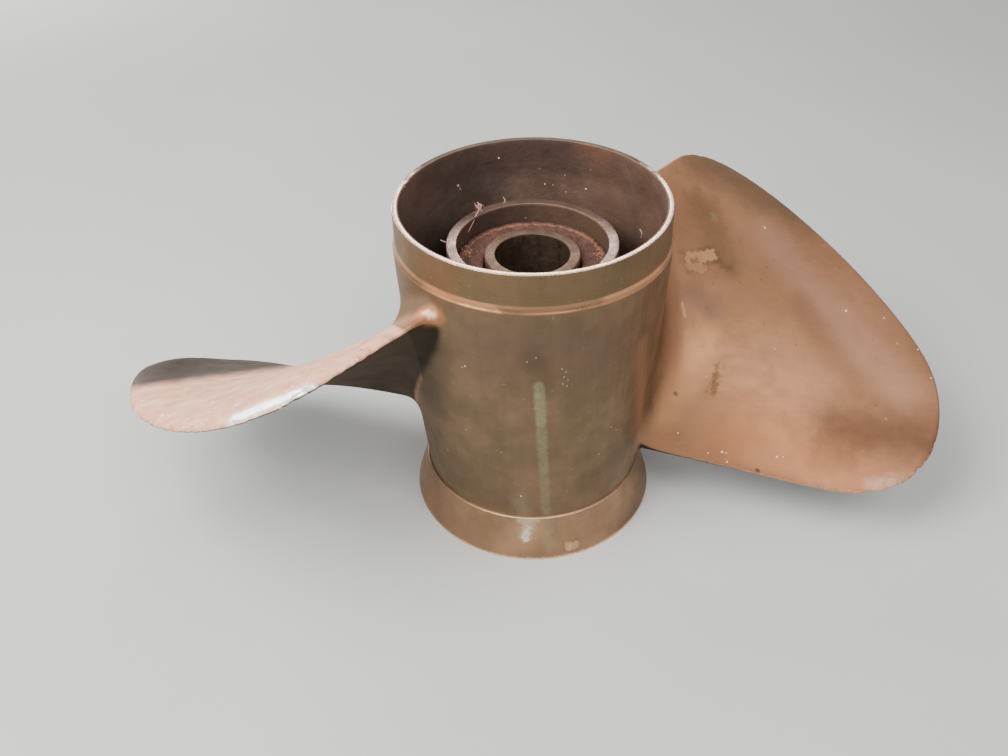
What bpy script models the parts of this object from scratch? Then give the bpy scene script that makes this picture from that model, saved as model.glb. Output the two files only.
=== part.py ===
"""Ship propeller: a two-blade bronze propeller with an exhaust passage through its hub.

It stands on the aft face of its flared ring, with its forward end up.
Metres, +Z along the shaft towards the bow. Heights are measured from the aft face.
"""
import math

import bmesh
import bpy
from mathutils import Vector

# Barrel, the outer wall of the hub
HUB_LENGTH = 0.1446
RIM_RADIUS = 0.0529
LIP_RADIUS = 0.0531
LIP_LENGTH = 0.0125
SHOULDER_RADIUS = 0.0540
SHOULDER_LENGTH = 0.0027
NECK_RADIUS = 0.0472
BARREL_BULGE = 0.0009
BARREL_STEPS = 6
BARREL_WALL = 0.0024
RIM_EDGE = 0.0004

# Flared ring on the aft end of the barrel
FLARE_LENGTH = 0.0201
FLARE_LEDGE = 0.0009
FLARE_RADIUS = 0.0537
FLARE_BELL = 1.05
FLARE_EDGE = 0.0006
FLARE_STEPS = 8
SPIGOT_LENGTH = 0.0070
SPIGOT_WALL = 0.0016

# Inner tube and the ribs that carry it
TUBE_RADIUS = 0.0332
TUBE_WALL = 0.0028
TUBE_TOP_DROP = 0.0185
TUBE_BOTTOM = 0.0300
RIB_COUNT = 4
RIB_THICKNESS = 0.0050
RIB_TOP_DROP = 0.0460
RIB_BOTTOM = 0.0340
RIB_MARGIN = 0.0020

# Rubber bush and splined sleeve
SLEEVE_RADIUS = 0.0189
SLEEVE_BORE = 0.0146
SLEEVE_TOP_DROP = 0.0240
SLEEVE_BOTTOM = 0.0340
SLEEVE_CHAMFER = 0.0006
COUNTERBORE_DEPTH = 0.0240
SPLINE_COUNT = 15
SPLINE_ROOT_RADIUS = 0.0140
SPLINE_TIP_RADIUS = 0.0128
BUSH_TOP_DROP = 0.0275
BUSH_BOTTOM = 0.0380
BUSH_CHAMFER = 0.0012

# Blades: a helical surface cut to a plan outline of straight edges and curved ends
BLADE_COUNT = 2
PITCH = 0.4750
LINE_HEIGHT = 0.0564
TIP_RADIUS = 0.1745
TIP_ANGLE = math.radians(-1.5)
LEADING_ANGLE = math.radians(50.2)
LEADING_STRAIGHT_RADIUS = 0.1014
LEADING_CORNER = 0.0548
LEADING_TIP_REACH = 0.0394
TRAILING_ANGLE = math.radians(-19.0)
TRAILING_STRAIGHT_RADIUS = 0.1215
TRAILING_CORNER = 0.0348
TRAILING_TIP_REACH = 0.0296
ROOT_THICKNESS = 0.0120
TIP_THICKNESS = 0.0028
CAMBER = 0.25
EDGE_FULLNESS = 3.0
ROOT_FILLET = 0.0140
NOSE_FILLET = 0.0035
ROOT_SINK = 0.0012
TIP_ROUND = 0.0015

# Clearance between pieces that touch, and mesh density
CLEARANCE = 0.0003
TURNED_SEGMENTS = 96
SECTION_POINTS = 36
FILLET_ROWS = 7
SPAN_ROWS = 22
ROOT_PASSES = 5

BARREL_BOTTOM = FLARE_LENGTH
LIP_BOTTOM = HUB_LENGTH - LIP_LENGTH
SHOULDER_HEIGHT = LIP_BOTTOM - SHOULDER_LENGTH
TUBE_TOP = HUB_LENGTH - TUBE_TOP_DROP
SLEEVE_TOP = HUB_LENGTH - SLEEVE_TOP_DROP
BUSH_TOP = HUB_LENGTH - BUSH_TOP_DROP


def clear_scene():
    for item in list(bpy.data.objects):
        bpy.data.objects.remove(item, do_unlink=True)


def metal(name, color, roughness):
    """A plain Principled material for cast or machined bronze."""
    return surface(name, color, roughness, 1.0)


def surface(name, color, roughness, metallic):
    material = bpy.data.materials.new(name)
    material.use_nodes = True
    shader = material.node_tree.nodes["Principled BSDF"]
    shader.inputs["Base Color"].default_value = (*color, 1.0)
    shader.inputs["Roughness"].default_value = roughness
    shader.inputs["Metallic"].default_value = metallic
    return material


def add_object(name, mesh_data, material=None):
    mesh = bpy.data.meshes.new(name)
    mesh_data.normal_update()
    mesh_data.to_mesh(mesh)
    mesh_data.free()
    item = bpy.data.objects.new(name, mesh)
    bpy.context.scene.collection.objects.link(item)
    if material is not None:
        mesh.materials.append(material)
    for face in mesh.polygons:
        face.use_smooth = True
    return item


def ring_mesh(rows, closed, segments):
    """Joins rows of points, each row one loop about the axis, into a surface with faces out."""
    data = bmesh.new()
    loops = [[data.verts.new(point) for point in row] for row in rows]
    last = len(loops) if closed else len(loops) - 1
    for row in range(last):
        lower = loops[row]
        upper = loops[(row + 1) % len(loops)]
        for side in range(segments):
            after = (side + 1) % segments
            data.faces.new((lower[side], lower[after], upper[after], upper[side]))
    return data, loops


def circle(radius, height, segments=TURNED_SEGMENTS):
    """One loop of points; radius is a number or a function of the angle."""
    points = []
    for side in range(segments):
        angle = 2 * math.pi * side / segments
        reach = radius(angle) if callable(radius) else radius
        points.append((reach * math.cos(angle), reach * math.sin(angle), height))
    return points


def turned(name, profile, material=None, segments=TURNED_SEGMENTS):
    """A ring turned about the axis; its closed profile runs up the outside and down the inside."""
    rows = [circle(radius, height, segments) for radius, height in profile]
    data, _ = ring_mesh(rows, True, segments)
    return add_object(name, data, material)


def barrel_radius(height):
    """Outer radius of the barrel below its shoulder: a cone with a slight bulge."""
    share = (height - BARREL_BOTTOM) / (SHOULDER_HEIGHT - BARREL_BOTTOM)
    cone = NECK_RADIUS + share * (SHOULDER_RADIUS - NECK_RADIUS)
    return cone + BARREL_BULGE * 4 * share * (1 - share)


def barrel_ring():
    inner_top = RIM_RADIUS - BARREL_WALL
    inner_shoulder = SHOULDER_RADIUS - BARREL_WALL
    rib_ends = (HUB_LENGTH - RIB_TOP_DROP + RIB_MARGIN, RIB_BOTTOM - RIB_MARGIN)
    profile = []
    for step in range(BARREL_STEPS + 1):
        height = BARREL_BOTTOM + step * (SHOULDER_HEIGHT - BARREL_BOTTOM) / BARREL_STEPS
        profile.append((barrel_radius(height), height))
    profile += [
        (LIP_RADIUS, LIP_BOTTOM),
        (RIM_RADIUS, HUB_LENGTH - RIM_EDGE),
        (RIM_RADIUS - RIM_EDGE, HUB_LENGTH),
        (inner_top + RIM_EDGE, HUB_LENGTH),
        (inner_top, HUB_LENGTH - RIM_EDGE),
        (inner_shoulder, SHOULDER_HEIGHT),
    ]
    profile += [(barrel_radius(height) - BARREL_WALL, height) for height in rib_ends]
    profile.append((NECK_RADIUS - BARREL_WALL, BARREL_BOTTOM))
    return profile


def plan_point(radius, angle):
    return Vector((radius * math.cos(angle), radius * math.sin(angle)))


def plan_curve(share, start, start_reach, end_reach):
    """Plan point on the curved end of an edge, from the end of its straight part to the tip."""
    radius, angle = start
    first = plan_point(radius, angle)
    tip = plan_point(TIP_RADIUS, TIP_ANGLE)
    across = plan_point(end_reach, TIP_ANGLE + 0.5 * math.pi)
    second = first + plan_point(start_reach, angle)
    third = tip + across
    rest = 1 - share
    return (
        rest ** 3 * first
        + 3 * rest * rest * share * second
        + 3 * rest * share * share * third
        + share ** 3 * tip
    )


def edge_angle(radius, start, start_reach, end_reach):
    """Angle of an edge at a radius: constant on the straight part, then along the curve."""
    if radius <= start[0]:
        return start[1]
    low, high = 0.0, 1.0
    for _ in range(40):
        share = 0.5 * (low + high)
        if plan_curve(share, start, start_reach, end_reach).length < radius:
            low = share
        else:
            high = share
    point = plan_curve(low, start, start_reach, end_reach)
    return math.atan2(point.y, point.x)


def blade_edges(radius):
    """Angles of the leading and trailing edges at a radius."""
    leading = (LEADING_STRAIGHT_RADIUS, LEADING_ANGLE)
    trailing = (TRAILING_STRAIGHT_RADIUS, TRAILING_ANGLE)
    return (
        edge_angle(radius, leading, LEADING_CORNER, LEADING_TIP_REACH),
        edge_angle(radius, trailing, TRAILING_CORNER, -TRAILING_TIP_REACH),
    )


def blade_point(radius, turn, along, above):
    """A point beside the helix at a turn about the axis: along the helix, and above it."""
    slope = math.atan2(PITCH, 2 * math.pi * radius)
    arc = along * math.cos(slope) - above * math.sin(slope)
    height = LINE_HEIGHT + PITCH * turn / (2 * math.pi)
    height += along * math.sin(slope) + above * math.cos(slope)
    angle = turn + arc / radius
    return Vector((radius * math.cos(angle), radius * math.sin(angle), height))


def row_radius(row, root):
    """Radius of a loft row over a barrel radius: rows near the root follow the barrel."""
    kind, amount = row
    if kind == "root":
        return root + amount
    start = root + ROOT_FILLET
    return start + amount * (TIP_RADIUS - start)


def fillet_growth(distance, fillet):
    """How far a root fillet stands off the blade at a distance from the barrel."""
    if distance >= fillet:
        return 0.0
    reach = fillet - max(0.0, distance)
    return fillet - math.sqrt(max(0.0, fillet ** 2 - reach ** 2))


def section_thickness(radius):
    share = (radius - NECK_RADIUS) / (TIP_RADIUS - NECK_RADIUS)
    thickness = ROOT_THICKNESS + share * (TIP_THICKNESS - ROOT_THICKNESS)
    into_round = (radius - (TIP_RADIUS - TIP_ROUND)) / TIP_ROUND
    if into_round > 0:
        thickness *= math.sqrt(max(0.04, 1 - into_round * into_round))
    return thickness


def section_point(row, around, root):
    """A point of the blade's section, at an angle round it and over a barrel radius."""
    radius = row_radius(row, root)
    leading, trailing = blade_edges(radius)
    chord_share = 0.5 + 0.5 * math.cos(around)
    turn = trailing + chord_share * (leading - trailing)
    thickness = section_thickness(radius)
    fullness = math.sqrt(max(0.0, 1 - abs(math.cos(around)) ** EDGE_FULLNESS))
    side = 1 if math.sin(around) > 0 else -1
    above = side * fullness * 0.5 * thickness
    above += math.sin(around) * fillet_growth(radius - root, ROOT_FILLET)
    above += CAMBER * thickness * 4 * chord_share * (1 - chord_share)
    along = math.cos(around) * fillet_growth(radius - root, NOSE_FILLET)
    return blade_point(radius, turn, along, above)


def section_loop(row):
    """One closed loop of points round the blade, set off from the barrel beside each point."""
    points = []
    for step in range(SECTION_POINTS):
        around = 2 * math.pi * step / SECTION_POINTS
        point = Vector((0.0, 0.0, LINE_HEIGHT))
        for _ in range(ROOT_PASSES):
            point = section_point(row, around, barrel_radius(point.z))
        points.append(point)
    return points


def blade_rows():
    rows = [("root", -ROOT_SINK)]
    for step in range(FILLET_ROWS):
        rows.append(("root", ROOT_FILLET * (step / FILLET_ROWS) ** 1.5))
    for step in range(SPAN_ROWS):
        rows.append(("span", math.sin(0.5 * math.pi * step / SPAN_ROWS)))
    rows.append(("span", 0.9995))
    return rows


def blade_solid(name, turn):
    loops = [section_loop(row) for row in blade_rows()]
    data, rings = ring_mesh(loops, False, SECTION_POINTS)
    data.faces.new(reversed(rings[0]))
    data.faces.new(rings[-1])
    bmesh.ops.recalc_face_normals(data, faces=data.faces)
    item = add_object(name, data)
    item.rotation_euler = (0.0, 0.0, turn)
    return item


def tube_profile():
    return [
        (TUBE_RADIUS, TUBE_BOTTOM),
        (TUBE_RADIUS, TUBE_TOP),
        (TUBE_RADIUS - TUBE_WALL, TUBE_TOP),
        (TUBE_RADIUS - TUBE_WALL, TUBE_BOTTOM),
    ]


def rib_solid(name, turn):
    """A flat rib that starts inside the tube's wall and ends inside the barrel's wall."""
    top = HUB_LENGTH - RIB_TOP_DROP
    data = bmesh.new()
    inner = TUBE_RADIUS - 0.5 * TUBE_WALL
    corners = []
    for height in (RIB_BOTTOM, top):
        outer = barrel_radius(height) - 0.5 * BARREL_WALL
        corners.append((inner, outer, height))
    points = []
    for inner_x, outer_x, height in corners:
        half = 0.5 * RIB_THICKNESS
        loop = [(inner_x, -half), (outer_x, -half), (outer_x, half), (inner_x, half)]
        points.append([data.verts.new((x, y, height)) for x, y in loop])
    bottom, upper = points
    data.faces.new(reversed(bottom))
    data.faces.new(upper)
    for side in range(4):
        after = (side + 1) % 4
        data.faces.new((bottom[side], bottom[after], upper[after], upper[side]))
    item = add_object(name, data)
    item.rotation_euler = (0.0, 0.0, turn)
    return item


def join(target, other, operation="UNION"):
    """Adds a boolean to target and hides the other solid."""
    boolean = target.modifiers.new(operation.lower() + "_" + other.name, "BOOLEAN")
    boolean.operation = operation
    boolean.solver = "EXACT"
    boolean.object = other
    other.hide_render = True
    other.display_type = "WIRE"


def propeller_casting(material):
    """Barrel, blades, ribs and inner tube, which are one casting."""
    casting = turned("propeller_casting", barrel_ring(), material)
    for number in range(BLADE_COUNT):
        turn = 2 * math.pi * number / BLADE_COUNT
        join(casting, blade_solid("blade_form_%d" % (number + 1), turn))
    core = turned("tube_form", tube_profile())
    for number in range(RIB_COUNT):
        turn = 2 * math.pi * number / RIB_COUNT
        join(core, rib_solid("rib_form_%d" % (number + 1), turn))
    join(casting, core)
    return casting


def flare_radius(share):
    """Outer radius of the ring, bell-shaped from a small ledge at the barrel to the aft face."""
    start = NECK_RADIUS + FLARE_LEDGE
    return start + (FLARE_RADIUS - start) * share ** FLARE_BELL


def flared_ring(material):
    """Ring with a spigot that enters the barrel's mouth."""
    top = FLARE_LENGTH - CLEARANCE
    outer = []
    for step in range(FLARE_STEPS + 1):
        share = 1 - step / FLARE_STEPS
        outer.append((flare_radius(share), top * (1 - share)))
    spigot_top = FLARE_LENGTH + SPIGOT_LENGTH
    spigot_outer = NECK_RADIUS - BARREL_WALL - CLEARANCE
    spigot_inner = spigot_outer - SPIGOT_WALL
    foot = [(FLARE_RADIUS - FLARE_EDGE, 0.0)]
    inner = [(radius - BARREL_WALL, height) for radius, height in reversed(outer[1:-1])]
    inner_foot = [(FLARE_RADIUS - BARREL_WALL + FLARE_EDGE, 0.0)]
    outer[0] = (FLARE_RADIUS, FLARE_EDGE)
    profile = foot + outer
    profile += [(spigot_outer, top), (spigot_outer, spigot_top), (spigot_inner, spigot_top)]
    profile += [(spigot_inner, top)] + inner + inner_foot
    return turned("flared_ring", profile, material)


def rubber_bush(material):
    outer = TUBE_RADIUS - TUBE_WALL - CLEARANCE
    inner = SLEEVE_RADIUS + CLEARANCE
    profile = [
        (outer, BUSH_BOTTOM),
        (outer, BUSH_TOP - BUSH_CHAMFER),
        (outer - BUSH_CHAMFER, BUSH_TOP),
        (inner, BUSH_TOP),
        (inner, BUSH_BOTTOM),
    ]
    return turned("rubber_bush", profile, material)


def spline_radius(angle):
    """Radius of the splined bore: flat-topped teeth with sloping flanks."""
    share = (angle * SPLINE_COUNT / (2 * math.pi)) % 1.0
    is_tooth = 0.25 < share < 0.75
    return SPLINE_TIP_RADIUS if is_tooth else SPLINE_ROOT_RADIUS


def splined_sleeve(material):
    """Sleeve that slides on the shaft, with a plain counterbore ahead of its splines."""
    spline_top = SLEEVE_TOP - COUNTERBORE_DEPTH
    profile = [
        (SLEEVE_RADIUS, SLEEVE_BOTTOM),
        (SLEEVE_RADIUS, SLEEVE_TOP - SLEEVE_CHAMFER),
        (SLEEVE_RADIUS - SLEEVE_CHAMFER, SLEEVE_TOP),
        (SLEEVE_BORE + SLEEVE_CHAMFER, SLEEVE_TOP),
        (SLEEVE_BORE, SLEEVE_TOP - SLEEVE_CHAMFER),
        (SLEEVE_BORE, spline_top),
        (spline_radius, spline_top),
        (spline_radius, SLEEVE_BOTTOM),
    ]
    return turned("splined_sleeve", profile, material, segments=6 * SPLINE_COUNT)


def build():
    clear_scene()
    propeller_casting(metal("casting_bronze", (0.42, 0.27, 0.16), 0.38))
    flared_ring(metal("ring_bronze", (0.46, 0.30, 0.17), 0.32))
    rubber_bush(surface("bush_rubber", (0.09, 0.045, 0.032), 0.85, 0.0))
    splined_sleeve(metal("sleeve_bronze", (0.30, 0.24, 0.17), 0.45))


build()
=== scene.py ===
"""Looks of the ship propeller: a two-blade bronze propeller that stands on its flared ring.

Metres, +Z along the shaft towards the bow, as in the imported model.
The casting, ring, bush and sleeve are rebuilt as fine meshes in the places of their solids.
"""
import bisect
import math

import bmesh
import bpy
from mathutils import Matrix, Vector, geometry, noise
from mathutils.bvhtree import BVHTree
from mathutils.kdtree import KDTree


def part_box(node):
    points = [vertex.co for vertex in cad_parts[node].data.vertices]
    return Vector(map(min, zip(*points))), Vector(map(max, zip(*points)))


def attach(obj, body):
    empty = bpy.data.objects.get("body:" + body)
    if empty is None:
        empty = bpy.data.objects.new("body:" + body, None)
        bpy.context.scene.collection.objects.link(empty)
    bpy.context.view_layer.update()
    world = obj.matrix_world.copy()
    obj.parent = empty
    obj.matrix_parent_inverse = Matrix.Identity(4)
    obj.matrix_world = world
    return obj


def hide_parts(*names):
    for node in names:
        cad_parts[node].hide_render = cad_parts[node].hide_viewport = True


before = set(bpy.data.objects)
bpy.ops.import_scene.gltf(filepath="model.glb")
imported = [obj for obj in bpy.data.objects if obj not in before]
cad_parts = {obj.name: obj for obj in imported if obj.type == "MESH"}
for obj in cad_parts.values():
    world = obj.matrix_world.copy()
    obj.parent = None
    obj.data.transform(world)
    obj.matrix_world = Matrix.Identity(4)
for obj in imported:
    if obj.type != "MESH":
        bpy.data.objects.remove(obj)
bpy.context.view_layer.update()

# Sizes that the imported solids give
casting_low, casting_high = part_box("propeller_casting")
ring_low, ring_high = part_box("flared_ring")
bush_low, bush_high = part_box("rubber_bush")
sleeve_low, sleeve_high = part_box("splined_sleeve")
HUB_LENGTH = casting_high.z
BARREL_BOTTOM = casting_low.z

# Barrel and its front lip
RIM_RADIUS = 0.0529
LIP_RADIUS = 0.0531
LIP_LENGTH = 0.0125
SHOULDER_RADIUS = 0.0540
SHOULDER_LENGTH = 0.0027
NECK_RADIUS = 0.0472
BARREL_BULGE = 0.0009
BARREL_WALL = 0.0024
COVE_STEPS = 10
COVE_CURVE = 2.4
RIM_EDGE = 0.0004
LIP_BOTTOM = HUB_LENGTH - LIP_LENGTH
SHOULDER_HEIGHT = LIP_BOTTOM - SHOULDER_LENGTH

# Inner tube and its ribs
TUBE_RADIUS = 0.0332
TUBE_WALL = 0.0028
TUBE_LIP = 0.0004
TUBE_TOP = HUB_LENGTH - 0.0185
TUBE_BOTTOM = 0.0300
TUBE_EDGE = 0.0006
TUBE_BORE_STEP = 0.0010
RIB_COUNT = 4
RIB_THICKNESS = 0.0050
RIB_TOP = HUB_LENGTH - 0.0460
RIB_BOTTOM = 0.0340

# Blades
BLADE_COUNT = 2
PITCH = 0.4750
LINE_HEIGHT = 0.0564
ROOT_THICKNESS = 0.0120
TIP_THICKNESS = 0.0026
CAMBER = 0.25
EDGE_FULLNESS = 3.0
ROOT_FILLET = 0.0140
NOSE_FILLET = 0.0035
TIP_ROUND = 0.0015
TIP_SHARE = 0.2
EDGE_STEPS = 400
EDGE_START = 0.0400

# Outline of each blade as the photo shows it, the right one first: tip radius and angle,
# then for each edge its angle, the radius where its straight part ends, and the reaches of
# its curve at both ends; the leading edge is bent down and the tip's other side up, and
# wear is the depth of the small dents along both edges
OUTLINES = (
    {
        "tip": (0.1727, math.radians(-1.34)),
        "leading": (math.radians(49.9), 0.1019, 0.0469, 0.0437),
        "trailing": (math.radians(-19.1), 0.1246, 0.0385, -0.0295),
        "bend": (0.0019, 0.0010),
        "wear": (0.0005, 0.0004),
    },
    {
        "tip": (0.1744, math.radians(-1.01)),
        "leading": (math.radians(50.3), 0.0987, 0.0599, 0.0394),
        "trailing": (math.radians(-18.45), 0.1189, 0.0331, -0.0267),
        "bend": (0.0024, 0.0033),
        "wear": (0.0030, 0.0006),
    },
)

# Where the blades are bent and worn: radii and sides over which a bend grows, noises as
# (scale per metre, share), and the distances from root and tip over which wear fades
LEAD_BEND = (0.095, 0.150)
TIP_BEND = (0.150, 0.172)
BEND_SIDE = (-0.030, 0.045)
WEAR_NOISES = ((330, 1.0), (620, 0.7))
WEAR_START = (0.018, 0.026)
WEAR_END = 0.0040

# Mesh density
COLUMNS = 224
PATCH_ROWS = 78
PATCH_GAP = 0.0008
PATCH_WELD = 0.0000001
PATCH_START = math.radians(-75.0)
SECTION_POINTS = 128
FILLET_ROWS = 18
FILLET_SPREAD = 1.5
SPAN_ROWS = 138
SPAN_END = 0.9992
ROOT_PASSES = 8
SPAN_PASSES = 3
WALL_STEPS = 60
WALL_STEP = 0.0016
TUBE_SEGMENTS = 160
WELD = 0.00002
WELD_REACH = 0.0002


def link(name, data):
    """Puts a new object with the data in the scene."""
    item = bpy.data.objects.new(name, data)
    bpy.context.scene.collection.objects.link(item)
    return item


def add_object(name, data, *materials, sharp=math.radians(40)):
    """Makes a smooth-shaded object of a bmesh, with its hard edges kept sharp."""
    mesh = bpy.data.meshes.new(name)
    data.normal_update()
    data.to_mesh(mesh)
    data.free()
    for material in materials:
        mesh.materials.append(material)
    mesh.shade_smooth()
    mesh.set_sharp_from_angle(angle=sharp)
    return link(name, mesh)


def bridge(data, rings):
    """Adds the faces between rings that follow each other."""
    for lower, upper in zip(rings, rings[1:]):
        for side, corner in enumerate(lower):
            after = (side + 1) % len(lower)
            data.faces.new((corner, lower[after], upper[after], upper[side]))


def around_axis(turn):
    return Matrix.Rotation(turn, 3, "Z")


def plan_point(radius, angle):
    return Vector((radius * math.cos(angle), radius * math.sin(angle)))


def cylinder_point(radius, angle, height):
    return Vector((*plan_point(radius, angle), height))


def smooth_share(value, low, high):
    share = min(1.0, max(0.0, (value - low) / (high - low)))
    return share * share * (3 - 2 * share)


# Blade surface, as the solid has it, but finer

def barrel_radius(height):
    share = (height - BARREL_BOTTOM) / (SHOULDER_HEIGHT - BARREL_BOTTOM)
    cone = NECK_RADIUS + share * (SHOULDER_RADIUS - NECK_RADIUS)
    return cone + BARREL_BULGE * 4 * share * (1 - share)


class Blade:
    """One blade: its turn about the axis, its outline and its sections from root to tip."""

    def __init__(self, number):
        plan = OUTLINES[number]
        self.turn = 2 * math.pi * number / BLADE_COUNT
        self.spin = around_axis(self.turn)
        self.tip_radius, self.tip_angle = plan["tip"]
        self.lead_drop, self.tip_lift = plan["bend"]
        self.tables = [
            self.edge_table(plan["leading"], -plan["wear"][0]),
            self.edge_table(plan["trailing"], plan["wear"][1]),
        ]
        self.sections = [self.section(row) for row in blade_rows()]

    def curve(self, share, edge):
        """Plan point on the curved end of an edge, from the end of its straight part to the tip."""
        angle, radius, start_reach, end_reach = edge
        first = plan_point(radius, angle)
        tip = plan_point(self.tip_radius, self.tip_angle)
        second = first + plan_point(start_reach, angle)
        third = tip + plan_point(end_reach, self.tip_angle + 0.5 * math.pi)
        rest = 1 - share
        return (
            rest ** 3 * first
            + 3 * rest * rest * share * second
            + 3 * rest * share * share * third
            + share ** 3 * tip
        )

    def edge_table(self, edge, depth):
        """Radii and angles along an edge, with the small wear of a used edge."""
        angle, straight_end = edge[:2]
        radii, angles = [], []
        for step in range(EDGE_STEPS):
            radii.append(EDGE_START + (straight_end - EDGE_START) * step / EDGE_STEPS)
            angles.append(angle)
        for step in range(EDGE_STEPS + 1):
            point = self.curve(step / EDGE_STEPS, edge)
            radii.append(point.length)
            angles.append(math.atan2(point.y, point.x))
        for index, radius in enumerate(radii):
            place = cylinder_point(radius, angles[index] + self.turn, 0)
            wear = sum(share * max(0.0, noise.noise(place * scale)) for scale, share in WEAR_NOISES)
            wear *= 1 - smooth_share(radius, self.tip_radius - WEAR_END, self.tip_radius)
            wear *= smooth_share(radius - NECK_RADIUS, *WEAR_START)
            angles[index] += depth * wear / radius
        return radii, angles

    def edges(self, radius):
        """Angles of the leading and trailing edges at a radius."""
        found = []
        for radii, angles in self.tables:
            index = min(max(1, bisect.bisect(radii, radius)), len(radii) - 1)
            share = (radius - radii[index - 1]) / (radii[index] - radii[index - 1])
            share = min(1.0, max(0.0, share))
            found.append(angles[index - 1] + share * (angles[index] - angles[index - 1]))
        return found

    def drop(self, radius, turn):
        """How far the blade is bent down at a place of its plan."""
        leading = self.lead_drop * smooth_share(radius, *LEAD_BEND)
        trailing = -self.tip_lift * smooth_share(radius, *TIP_BEND)
        side = smooth_share(radius * math.sin(turn), *BEND_SIDE)
        return trailing + (leading - trailing) * side

    def thickness(self, radius):
        share = (radius - NECK_RADIUS) / (self.tip_radius - NECK_RADIUS)
        thickness = ROOT_THICKNESS + share * (TIP_THICKNESS - ROOT_THICKNESS)
        into_round = (radius - (self.tip_radius - TIP_ROUND)) / TIP_ROUND
        if into_round > 0:
            thickness *= math.sqrt(max(TIP_SHARE ** 2, 1 - into_round * into_round))
        return thickness

    def section_point(self, row, around, root):
        """A point of the section, at an angle round it and over a barrel radius."""
        kind, amount = row
        radius = root + amount
        if kind == "span":
            start = root + ROOT_FILLET
            radius = start + amount * (self.tip_radius - start)
        leading, trailing = self.edges(radius)
        chord_share = 0.5 + 0.5 * math.cos(around)
        turn = trailing + chord_share * (leading - trailing)
        thickness = self.thickness(radius)
        fullness = math.sqrt(max(0.0, 1 - abs(math.cos(around)) ** EDGE_FULLNESS))
        side = 1 if math.sin(around) > 0 else -1
        above = side * fullness * 0.5 * thickness
        above += math.sin(around) * fillet_growth(radius - root, ROOT_FILLET)
        above += CAMBER * thickness * 4 * chord_share * (1 - chord_share)
        along = math.cos(around) * fillet_growth(radius - root, NOSE_FILLET)
        point = helix_point(radius, turn, along, above)
        point.z -= self.drop(radius, turn)
        return point

    def section(self, row):
        points = []
        for step in range(SECTION_POINTS):
            around = 2 * math.pi * step / SECTION_POINTS
            point = Vector((0.0, 0.0, LINE_HEIGHT))
            for _ in range(ROOT_PASSES if row[0] == "root" else SPAN_PASSES):
                point = self.section_point(row, around, barrel_radius(point.z))
            points.append(point)
        return points


def helix_point(radius, turn, along, above):
    """A point beside the helix at a turn about the axis: along the helix, and above it."""
    slope = math.atan2(PITCH, 2 * math.pi * radius)
    arc = along * math.cos(slope) - above * math.sin(slope)
    height = LINE_HEIGHT + PITCH * turn / (2 * math.pi)
    height += along * math.sin(slope) + above * math.cos(slope)
    return cylinder_point(radius, turn + arc / radius, height)


def fillet_growth(distance, fillet):
    if distance >= fillet:
        return 0.0
    reach = fillet - max(0.0, distance)
    return fillet - math.sqrt(max(0.0, fillet ** 2 - reach ** 2))


def blade_rows():
    """Rows of a blade: in its root's fillet by distance, and over its span by share."""
    rows = []
    for step in range(FILLET_ROWS):
        rows.append(("root", ROOT_FILLET * (step / FILLET_ROWS) ** FILLET_SPREAD))
    for step in range(SPAN_ROWS + 1):
        rows.append(("span", SPAN_END * math.sin(0.5 * math.pi * step / SPAN_ROWS)))
    return rows


BLADES = [Blade(number) for number in range(BLADE_COUNT)]


def add_blade(data, blade):
    """Adds one blade to the mesh, open at its root."""
    rings = [[data.verts.new(blade.spin @ point) for point in points] for points in blade.sections]
    bridge(data, rings)
    cap_section(data, rings[-1])


def cap_section(data, ring):
    """Closes a section with faces between the points that lie above and below each other."""
    count = len(ring)
    data.faces.new((ring[0], ring[1], ring[-1]))
    for side in range(1, count // 2 - 1):
        data.faces.new((ring[side], ring[side + 1], ring[count - side - 1], ring[count - side]))
    middle = count // 2
    data.faces.new((ring[middle - 1], ring[middle], ring[middle + 1]))


# Barrel: its outer skin has holes that fit the blades' roots

def inside_loop(point, loop):
    crossings = False
    before = loop[-1]
    for after in loop:
        if (after.y > point.y) != (before.y > point.y):
            cut = (before.x - after.x) * (point.y - after.y) / (before.y - after.y) + after.x
            if point.x < cut:
                crossings = not crossings
        before = after
    return crossings


def patch_columns():
    half = COLUMNS // BLADE_COUNT
    return [PATCH_START + math.pi * step / half for step in range(half + 1)]


def add_barrel_patch(data, blade):
    """Adds the barrel's skin round one blade's root, as triangles fitted to the root's loop."""
    flat = SHOULDER_RADIUS
    loop = [Vector((math.atan2(point.y, point.x) * flat, point.z)) for point in blade.sections[0]]
    edges = [(step, (step + 1) % len(loop)) for step in range(len(loop))]
    points = list(loop)
    for angle in patch_columns():
        for step in range(PATCH_ROWS + 1):
            height = BARREL_BOTTOM + step * (SHOULDER_HEIGHT - BARREL_BOTTOM) / PATCH_ROWS
            point = Vector((angle * flat, height))
            if inside_loop(point, loop):
                continue
            if min((point - other).length for other in loop) >= PATCH_GAP:
                points.append(point)
    verts, _, faces, _, _, _ = geometry.delaunay_2d_cdt(points, edges, [], 0, PATCH_WELD)
    made = []
    for point in verts:
        place = cylinder_point(barrel_radius(point.y), point.x / flat, point.y)
        made.append(data.verts.new(blade.spin @ place))
    for face in faces:
        centre = sum((verts[index] for index in face), Vector((0.0, 0.0))) / len(face)
        if not inside_loop(centre, loop):
            data.faces.new([made[index] for index in face])


def add_rings(data, profile):
    """Adds full circles of the barrel's columns, one for each (radius, height), joined in order."""
    turns = []
    for number in range(BLADE_COUNT):
        turns += [angle + 2 * math.pi * number / BLADE_COUNT for angle in patch_columns()[:-1]]
    bridge(data, [[data.verts.new(cylinder_point(radius, turn, height)) for turn in turns]
                  for radius, height in profile])


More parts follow.
